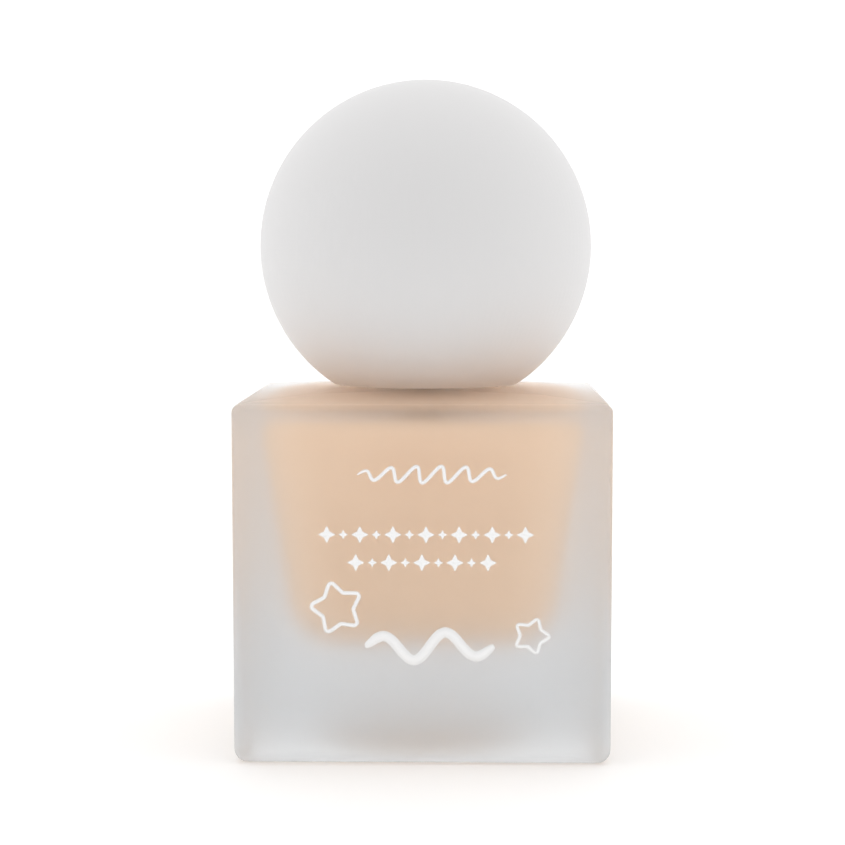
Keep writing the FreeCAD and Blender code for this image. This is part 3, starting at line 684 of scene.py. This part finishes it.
class BOTTLE_OT_collar_sleeve(bpy.types.Operator):
    """Makes the drawn aluminium sleeve over the screw collar, with its rolled top edge"""
    bl_idname = "bottle.collar_sleeve"
    bl_label = "Collar Sleeve"

    def execute(self, context):
        settings = context.scene.bottle_pump
        low, high = node_box("collar_sleeve")
        wall = settings.sleeve_wall / MM
        outer, inner = high[0], high[0] - wall
        lip = inner - settings.sleeve_lip / MM
        under = high[2] - wall + SEAT_GAP
        start = ((outer + inner) / 2, low[2], 0)
        outline = rounded([
            start, (outer, low[2], SHEET_EDGE), (outer, high[2], ROLLED_EDGE),
            (lip, high[2], SHEET_EDGE), (lip, under, SHEET_EDGE), (inner, under, FOLD),
            (inner, low[2], SHEET_EDGE), start])
        piece = loft("collar_sleeve_drawn", turned(with_guards(outline)),
                     brushed_metal("satin_anodised_aluminium", settings.metal, rough=0.32))
        place(piece, "collar", ["collar_sleeve"])
        return {"FINISHED"}


SHEET_EDGE = 0.15  # radius of the sheet's cut edges
ROLLED_EDGE, FOLD = 0.4, 0.08  # radii of the rolled top edge and of the fold inside it


def moulded_copy(name, node, grid, material):
    """A closed copy of a CAD node whose edges are rounded as a mould's are."""
    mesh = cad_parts[node].data.copy()
    mesh.name = name
    work = bmesh.new()
    work.from_mesh(mesh)
    bmesh.ops.remove_doubles(work, verts=work.verts, dist=FINE * MM)
    work.to_mesh(mesh)
    work.free()
    mesh.materials.clear()
    piece = bpy.data.objects.new(name, mesh)
    bpy.context.scene.collection.objects.link(piece)
    remesh = piece.modifiers.new("Grid", "REMESH")
    remesh.mode, remesh.voxel_size, remesh.use_smooth_shade = "VOXEL", grid, True
    smooth = piece.modifiers.new("Round Edges", "SMOOTH")
    smooth.factor, smooth.iterations = 0.5, 6
    rounded_mesh = bpy.data.meshes.new_from_object(
        piece.evaluated_get(bpy.context.evaluated_depsgraph_get()))
    piece.modifiers.clear()
    piece.data = rounded_mesh
    rounded_mesh.name = name
    rounded_mesh.materials.clear()
    rounded_mesh.materials.append(material)
    return piece


class BOTTLE_OT_actuator(bpy.types.Operator):
    """Makes the pump's head with its finger dish and spout, and the nozzle in the spout's tip"""
    bl_idname = "bottle.actuator"
    bl_label = "Actuator"

    def execute(self, context):
        settings = context.scene.bottle_pump
        white = moulded_resin("white_polypropylene", settings.resin, rough=0.36, subsurface=0.15)
        head = moulded_copy("actuator_moulding", "actuator_head", settings.softening, white)
        place(head, "actuator", ["actuator_head"])
        tip = moulded_copy("nozzle_moulding", "nozzle_insert", settings.softening / 2, white)
        place(tip, "actuator", ["nozzle_insert"])
        return {"FINISHED"}


def spring_tree():
    """A coil spring from its inputs: a helix with a round wire swept along it and closed ends."""
    tree, given = new_tree("coil_spring", {
        "Coils": "Float", "Radius": "Float", "Height": "Float", "Wire": "Float", "Foot": "Float",
        "Material": "Material"})
    helix = add_node(tree, "GeometryNodeCurveSpiral", {
        "Resolution": 40, "Rotations": given["Coils"], "Start Radius": given["Radius"],
        "End Radius": given["Radius"], "Height": given["Height"]})
    lift = add_node(tree, "ShaderNodeCombineXYZ", [0, 0, given["Foot"]])
    raised = add_node(tree, "GeometryNodeSetPosition", {"Geometry": helix, "Offset": lift})
    wire = add_node(tree, "GeometryNodeCurvePrimitiveCircle", {"Resolution": 14, "Radius": given["Wire"]})
    swept = add_node(tree, "GeometryNodeCurveToMesh", {"Curve": raised, "Profile Curve": wire,
                                                       "Fill Caps": True})
    shaded = add_node(tree, "GeometryNodeSetShadeSmooth", {"Geometry": swept, "Shade Smooth": True})
    return finish_tree(tree, shaded, given["Material"])


class BOTTLE_OT_return_spring(bpy.types.Operator):
    """Makes the steel return spring inside the pump's barrel, at one length; the real spring shortens as the
    pump is pressed
    """
    bl_idname = "bottle.return_spring"
    bl_label = "Return Spring"

    def execute(self, context):
        settings = context.scene.bottle_pump
        low, high = node_box("return_spring")
        wire = settings.wire / MM
        foot, top = low[2] + wire, high[2] - wire
        piece = grow("return_spring_wire", spring_tree(), {
            "Coils": settings.coils, "Radius": (high[0] - wire) * MM, "Height": (top - foot) * MM,
            "Wire": settings.wire, "Foot": foot * MM,
            "Material": brushed_metal("drawn_spring_steel", linear("B9BABB"), rough=0.28)})
        place(piece, "pump_unit", ["return_spring"])
        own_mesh(piece)
        return {"FINISHED"}


def star_tree():
    """A printed star in the XZ plane: an outline of the given stroke, or filled where Filled is on.

    Repeated Count times along X, Spacing apart, every second one shrunk by Small Share.
    """
    tree, given = new_tree("printed_stars", {
        "Points": "Int", "Outer": "Float", "Inner": "Float", "Tip Radius": "Float", "Turn": "Float",
        "Stroke": "Float", "Film": "Float", "Filled": "Bool", "Count": "Int", "Spacing": "Float",
        "Small Share": "Float", "Centre": "Vector", "Material": "Material"})
    star = add_node(tree, "GeometryNodeCurveStar", {
        "Points": given["Points"], "Inner Radius": given["Inner"], "Outer Radius": given["Outer"]})
    soft = add_node(tree, "GeometryNodeFilletCurve", {
        "Curve": star, "Radius": given["Tip Radius"], "Limit Radius": True, "Count": 7}, mode="POLY")
    section = add_node(tree, "GeometryNodeCurvePrimitiveQuadrilateral", {
        "Width": given["Stroke"], "Height": given["Film"]})
    outline = add_node(tree, "GeometryNodeCurveToMesh", {"Curve": soft, "Profile Curve": section})
    filled = add_node(tree, "GeometryNodeFillCurve", {"Curve": soft}, mode="NGONS")
    back = add_node(tree, "ShaderNodeMath", [given["Film"], -0.5], operation="MULTIPLY")
    back = add_node(tree, "ShaderNodeCombineXYZ", [0, 0, back])
    plate = add_node(tree, "GeometryNodeSetPosition", {"Geometry": filled, "Offset": back})
    raised = add_node(tree, "GeometryNodeExtrudeMesh", {
        "Mesh": plate, "Offset": (0, 0, 1), "Offset Scale": given["Film"], "Individual": False})
    turned_over = add_node(tree, "GeometryNodeFlipFaces", {"Mesh": plate})
    solid = add_node(tree, "GeometryNodeJoinGeometry")
    tree.links.new(turned_over.outputs[0], solid.inputs[0])
    tree.links.new(raised.outputs[0], solid.inputs[0])
    solid = add_node(tree, "GeometryNodeMergeByDistance", {"Geometry": solid, "Distance": 0.1 * FINE * MM})
    mark = add_node(tree, "GeometryNodeSwitch", {"Switch": given["Filled"], "False": outline, "True": solid},
                    input_type="GEOMETRY")
    gaps = add_node(tree, "ShaderNodeMath", [given["Count"], 1], operation="SUBTRACT")
    start = add_node(tree, "ShaderNodeMath", [gaps, given["Spacing"]], operation="MULTIPLY")
    start = add_node(tree, "ShaderNodeMath", [start, -0.5], operation="MULTIPLY")
    row = add_node(tree, "GeometryNodeMeshLine", {
        "Count": given["Count"],
        "Start Location": add_node(tree, "ShaderNodeCombineXYZ", [start, 0, 0]),
        "Offset": add_node(tree, "ShaderNodeCombineXYZ", [given["Spacing"], 0, 0])})
    index = add_node(tree, "GeometryNodeInputIndex")
    odd = add_node(tree, "ShaderNodeMath", [index, 2], operation="MODULO")
    size = add_node(tree, "ShaderNodeMapRange", {"Value": odd, "To Min": 1.0, "To Max": given["Small Share"]})
    upright = add_node(tree, "ShaderNodeCombineXYZ", [math.pi / 2, 0, 0])
    spun = add_node(tree, "ShaderNodeCombineXYZ", [0, 0, given["Turn"]])
    twisted = add_node(tree, "GeometryNodeTransform", {"Geometry": mark, "Rotation": spun})
    stood = add_node(tree, "GeometryNodeTransform", {"Geometry": twisted, "Rotation": upright})
    copies = add_node(tree, "GeometryNodeInstanceOnPoints", {"Points": row, "Instance": stood, "Scale": size})
    moved = add_node(tree, "GeometryNodeTransform", {"Geometry": copies, "Translation": given["Centre"]})
    return finish_tree(tree, moved, given["Material"])


def wave_tree():
    """A printed ribbon in the XZ plane that waves along X and thins towards its ends."""
    tree, given = new_tree("printed_wave", {
        "Length": "Float", "Swing": "Float", "Waves": "Float", "Lean": "Float", "Stroke": "Float",
        "Film": "Float", "Centre": "Vector", "Material": "Material"})
    line = add_node(tree, "GeometryNodeCurvePrimitiveLine", {
        "End": add_node(tree, "ShaderNodeCombineXYZ", [given["Length"], 0, 0])})
    line = add_node(tree, "GeometryNodeResampleCurve", {"Curve": line, "Count": WAVE_POINTS})
    along = add_node(tree, "GeometryNodeSplineParameter")
    phase = add_node(tree, "ShaderNodeMath", [along, given["Waves"]], operation="MULTIPLY")
    phase = add_node(tree, "ShaderNodeMath", [phase, 2 * math.pi], operation="MULTIPLY")
    sine = add_node(tree, "ShaderNodeMath", [phase], operation="SINE")
    arch = add_node(tree, "ShaderNodeMath", [along, math.pi], operation="MULTIPLY")
    arch = add_node(tree, "ShaderNodeMath", [arch], operation="SINE")
    fade = add_node(tree, "ShaderNodeMath", [arch, WAVE_FADE], operation="POWER")
    swing = add_node(tree, "ShaderNodeMath", [fade, given["Swing"]], operation="MULTIPLY")
    up = add_node(tree, "ShaderNodeMath", [sine, swing], operation="MULTIPLY")
    lean = add_node(tree, "ShaderNodeMath", [up, given["Lean"]], operation="MULTIPLY")
    shift = add_node(tree, "ShaderNodeCombineXYZ", [lean, up, 0])
    waved = add_node(tree, "GeometryNodeSetPosition", {"Geometry": line, "Offset": shift})
    thick = add_node(tree, "ShaderNodeMapRange", {"Value": fade, "From Max": 0.6, "To Min": THIN_END})
    section = add_node(tree, "GeometryNodeCurvePrimitiveQuadrilateral", {
        "Width": given["Stroke"], "Height": given["Film"]})
    swept = add_node(tree, "GeometryNodeCurveToMesh", {"Curve": waved, "Profile Curve": section,
                                                       "Fill Caps": True, "Scale": thick})
    upright = add_node(tree, "ShaderNodeCombineXYZ", [math.pi / 2, 0, 0])
    moved = add_node(tree, "GeometryNodeTransform", {"Geometry": swept, "Rotation": upright,
                                                     "Translation": given["Centre"]})
    return finish_tree(tree, moved, given["Material"])


WAVE_POINTS = 260  # points along a ribbon
WAVE_FADE, THIN_END = 0.4, 0.25  # how sharply a ribbon fades at its ends, and its least share of width


class BOTTLE_OT_printing(bpy.types.Operator):
    """Prints the front of the glass: two star outlines, and plain ornaments on the other lines"""
    bl_idname = "bottle.printing"
    bl_label = "Printing"

    def execute(self, context):
        settings = context.scene.bottle_print
        ink = printed_ink(settings)
        front = node_box("glass_bottle")[0][1]
        stars, wave = star_tree(), wave_tree()
        common = {"Film": settings.film, "Material": ink}
        prints = []
        for name, x, z, size, turn, stroke in STARS:
            prints.append((name, x, z, stars, {
                "Points": 5, "Outer": size * MM, "Inner": STAR_WAIST * size * MM,
                "Tip Radius": STAR_TIP * size * MM, "Turn": math.radians(turn), "Count": 1,
                "Stroke": settings.stroke * stroke, "Small Share": 1.0}))
        for name, x, z, count in BORDERS:
            prints.append((name, x, z, stars, {
                "Points": 4, "Outer": SPARK * MM, "Inner": SPARK_WAIST * MM,
                "Tip Radius": SPARK_TIP * MM, "Filled": True, "Count": count,
                "Spacing": SPARK_SPACING * MM, "Small Share": SMALL_SPARK}))
        for name, x, z, length, swing, waves, lean, stroke in WAVES:
            prints.append((name, x, z, wave, {
                "Length": length * MM, "Swing": swing * MM, "Waves": waves, "Lean": lean,
                "Stroke": stroke * MM}))
        for name, x, z, tree, sizes in prints:
            place(grow(name, tree, {**common, **sizes, "Centre": (x * MM, front * MM, z * MM)}), "bottle")
        return {"FINISHED"}


# Places (across, height) on the front of the glass and sizes, in millimetres; turns in degrees.
STARS = (  # name, across, height, radius, turn, share of the line width
    ("printed_star_large", -10.3, 19.25, 3.44, 32, 1.0),
    ("printed_star_small", 13.27, 15.9, 2.36, -2, 0.86),
)
STAR_WAIST, STAR_TIP = 0.575, 0.12  # shares of a star's radius: its inner corners and its rounded tips
SPARK, SPARK_WAIST, SPARK_TIP, SPARK_SPACING = 1.1, 0.5, 0.08, 2.0  # a border's four-pointed ornament
SMALL_SPARK = 0.55  # share of that size for every second ornament
BORDERS = (  # name, across, height, count of ornaments
    ("printed_border_upper", 0.5, 28.2, 13),
    ("printed_border_lower", 0.0, 24.8, 9),
)
WAVES = (  # name, across, height, length, swing, waves, lean, line width
    ("printed_flourish", -7.8, 35.5, 18.0, 1.0, 6, 0.4, 0.42),
    ("printed_band", -6.9, 14.6, 15.7, 1.75, 2.0, 0.0, 1.25),
)


class BOTTLE_OT_pump_parts(bpy.types.Operator):
    """Gives the pump's remaining pieces, which keep their CAD shapes, their materials"""
    bl_idname = "bottle.pump_parts"
    bl_label = "Pump Parts"

    def execute(self, context):
        white = bpy.data.materials["white_polypropylene"]
        natural = moulded_resin("natural_polypropylene", linear("E4E6E3"), rough=0.4, subsurface=0.35)
        rubber = moulded_resin("black_seal_rubber", linear("38393B"), rough=0.6)
        steel = brushed_metal("polished_ball_steel", linear("C4C5C6"), rough=0.14)
        finishes = {
            white: ["screw_collar", "stem", "cap_inner_sleeve"],
            natural: ["pump_housing", "dip_tube", "ball_cage", "stem_guide", "stem_plug"],
            rubber: ["neck_gasket", "piston_seal"],
            steel: ["check_ball"],
        }
        for material, nodes in finishes.items():
            for node in nodes:
                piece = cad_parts[node]
                for slot in piece.material_slots:
                    slot.material = material
        return {"FINISHED"}


class BOTTLE_OT_stage(bpy.types.Operator):
    """Makes the floor, the light and the camera"""
    bl_idname = "bottle.stage"
    bl_label = "Stage"

    def execute(self, context):
        settings = context.scene.bottle_stage
        make_floor(settings)
        make_light(settings)
        camera = bpy.data.cameras.new("Camera")
        camera.lens, camera.sensor_width = settings.lens, 36
        holder = bpy.data.objects.new("Camera", camera)
        holder.location = [v * MM for v in CAMERA_PLACE]
        holder.rotation_euler = Euler([math.radians(v) for v in CAMERA_TURN])
        context.scene.collection.objects.link(holder)
        context.scene.camera = holder
        context.scene.view_settings.view_transform = "Standard"
        # Light crosses the glass and the cream many times before it comes out.
        context.scene.cycles.max_bounces = 24
        context.scene.cycles.diffuse_bounces = 10
        context.scene.cycles.transmission_bounces = 16
        return {"FINISHED"}


CAMERA_PLACE, CAMERA_TURN = (5.9, -295.05, 62.19), (85.714, 0, 1.226)  # millimetres, degrees
SOFTBOX_SIZE, SOFTBOX_HEIGHT = 0.6, 0.8  # metres
DIM_EDGE = -0.1  # how far round, along Y, the dimmer side of the surround reaches


def make_floor(settings):
    """A wide disc of opal acrylic, the top of a light table."""
    material, tree, place_at = new_material("opal_acrylic_floor")
    cloud = add_node(tree, "ShaderNodeTexNoise", {"Vector": place_at, "Scale": grain_scale(40)})
    rough = add_node(tree, "ShaderNodeMapRange", {"Value": cloud, "To Min": 0.6, "To Max": 0.7})
    shader = add_node(tree, "ShaderNodeBsdfPrincipled", {"Roughness": rough})
    finish_material(tree, shader, Base_Color=(*settings.floor, 1), Specular_IOR_Level=0.1,
                    Emission_Color=(1, 1, 1, 1), Emission_Strength=settings.floor_glow)
    work = bmesh.new()
    bmesh.ops.create_circle(work, cap_ends=True, segments=128, radius=settings.floor_radius)
    mesh = bpy.data.meshes.new("floor")
    work.to_mesh(mesh)
    work.free()
    mesh.materials.append(material)
    floor = bpy.data.objects.new("floor", mesh)
    bpy.context.scene.collection.objects.link(floor)


def make_light(settings):
    """A white surround, dimmer on the camera's side, and a soft box overhead."""
    world = bpy.data.worlds.new("white_surround")
    world.use_nodes = True
    world.node_tree.nodes.clear()
    tree = world.node_tree
    facing = add_node(tree, "ShaderNodeTexCoord")
    direction = add_node(tree, "ShaderNodeSeparateXYZ", [facing.outputs["Generated"]]).outputs
    level = add_node(tree, "ShaderNodeMapRange", {
        "Value": direction["Y"], "From Min": -1.0, "From Max": DIM_EDGE,
        "To Min": settings.surround * settings.front, "To Max": settings.surround},
        interpolation_type="SMOOTHSTEP")
    seen = add_node(tree, "ShaderNodeLightPath").outputs["Is Camera Ray"]  # a plain white backdrop
    backdrop = add_node(tree, "ShaderNodeMath", [seen, settings.surround], operation="MULTIPLY")
    strength = add_node(tree, "ShaderNodeMath", [level, backdrop], operation="MAXIMUM")
    light = add_node(tree, "ShaderNodeBackground", [(1, 1, 1, 1), strength])
    add_node(tree, "ShaderNodeOutputWorld", [light])
    bpy.context.scene.world = world
    lamp = bpy.data.lights.new("overhead_softbox", "AREA")
    lamp.shape, lamp.size, lamp.energy = "DISK", SOFTBOX_SIZE, settings.softbox
    box = bpy.data.objects.new("overhead_softbox", lamp)
    box.location = (0, 0, SOFTBOX_HEIGHT)
    bpy.context.scene.collection.objects.link(box)


# ---------------------------------------------------------------- add-on

SETTINGS = {
    "bottle_glass": GlassSettings, "bottle_liquid": LiquidSettings, "bottle_overcap": OvercapSettings,
    "bottle_pump": PumpSettings, "bottle_print": PrintSettings, "bottle_stage": StageSettings,
}
OPERATORS = [
    BOTTLE_OT_glass, BOTTLE_OT_liquid, BOTTLE_OT_overcap, BOTTLE_OT_collar_sleeve, BOTTLE_OT_actuator,
    BOTTLE_OT_return_spring, BOTTLE_OT_printing, BOTTLE_OT_pump_parts, BOTTLE_OT_stage,
]


class BOTTLE_PT_panel(bpy.types.Panel):
    """Lists the bottle's pieces and their settings"""
    bl_label = "Foundation Bottle"
    bl_idname = "BOTTLE_PT_panel"
    bl_space_type = "VIEW_3D"
    bl_region_type = "UI"
    bl_category = "Bottle"

    def draw(self, context):
        for operator in OPERATORS:
            self.layout.operator(operator.bl_idname)
        for name, group in SETTINGS.items():
            box = self.layout.box()
            box.label(text=name.replace("_", " ").title())
            for key in group.__annotations__:
                box.prop(getattr(context.scene, name), key)


def register():
    for group in [*SETTINGS.values(), *OPERATORS, BOTTLE_PT_panel]:
        bpy.utils.register_class(group)
    for name, group in SETTINGS.items():
        setattr(bpy.types.Scene, name, bpy.props.PointerProperty(type=group))


def unregister():
    for name in SETTINGS:
        delattr(bpy.types.Scene, name)
    for group in reversed([*SETTINGS.values(), *OPERATORS, BOTTLE_PT_panel]):
        bpy.utils.unregister_class(group)


def main():
    """Makes every piece in order."""
    register()
    for operator in OPERATORS:
        group, name = operator.bl_idname.split(".")
        if getattr(getattr(bpy.ops, group), name)() != {"FINISHED"}:
            raise RuntimeError(f"{operator.bl_label} was not made")


if __name__ == "__main__":
    main()
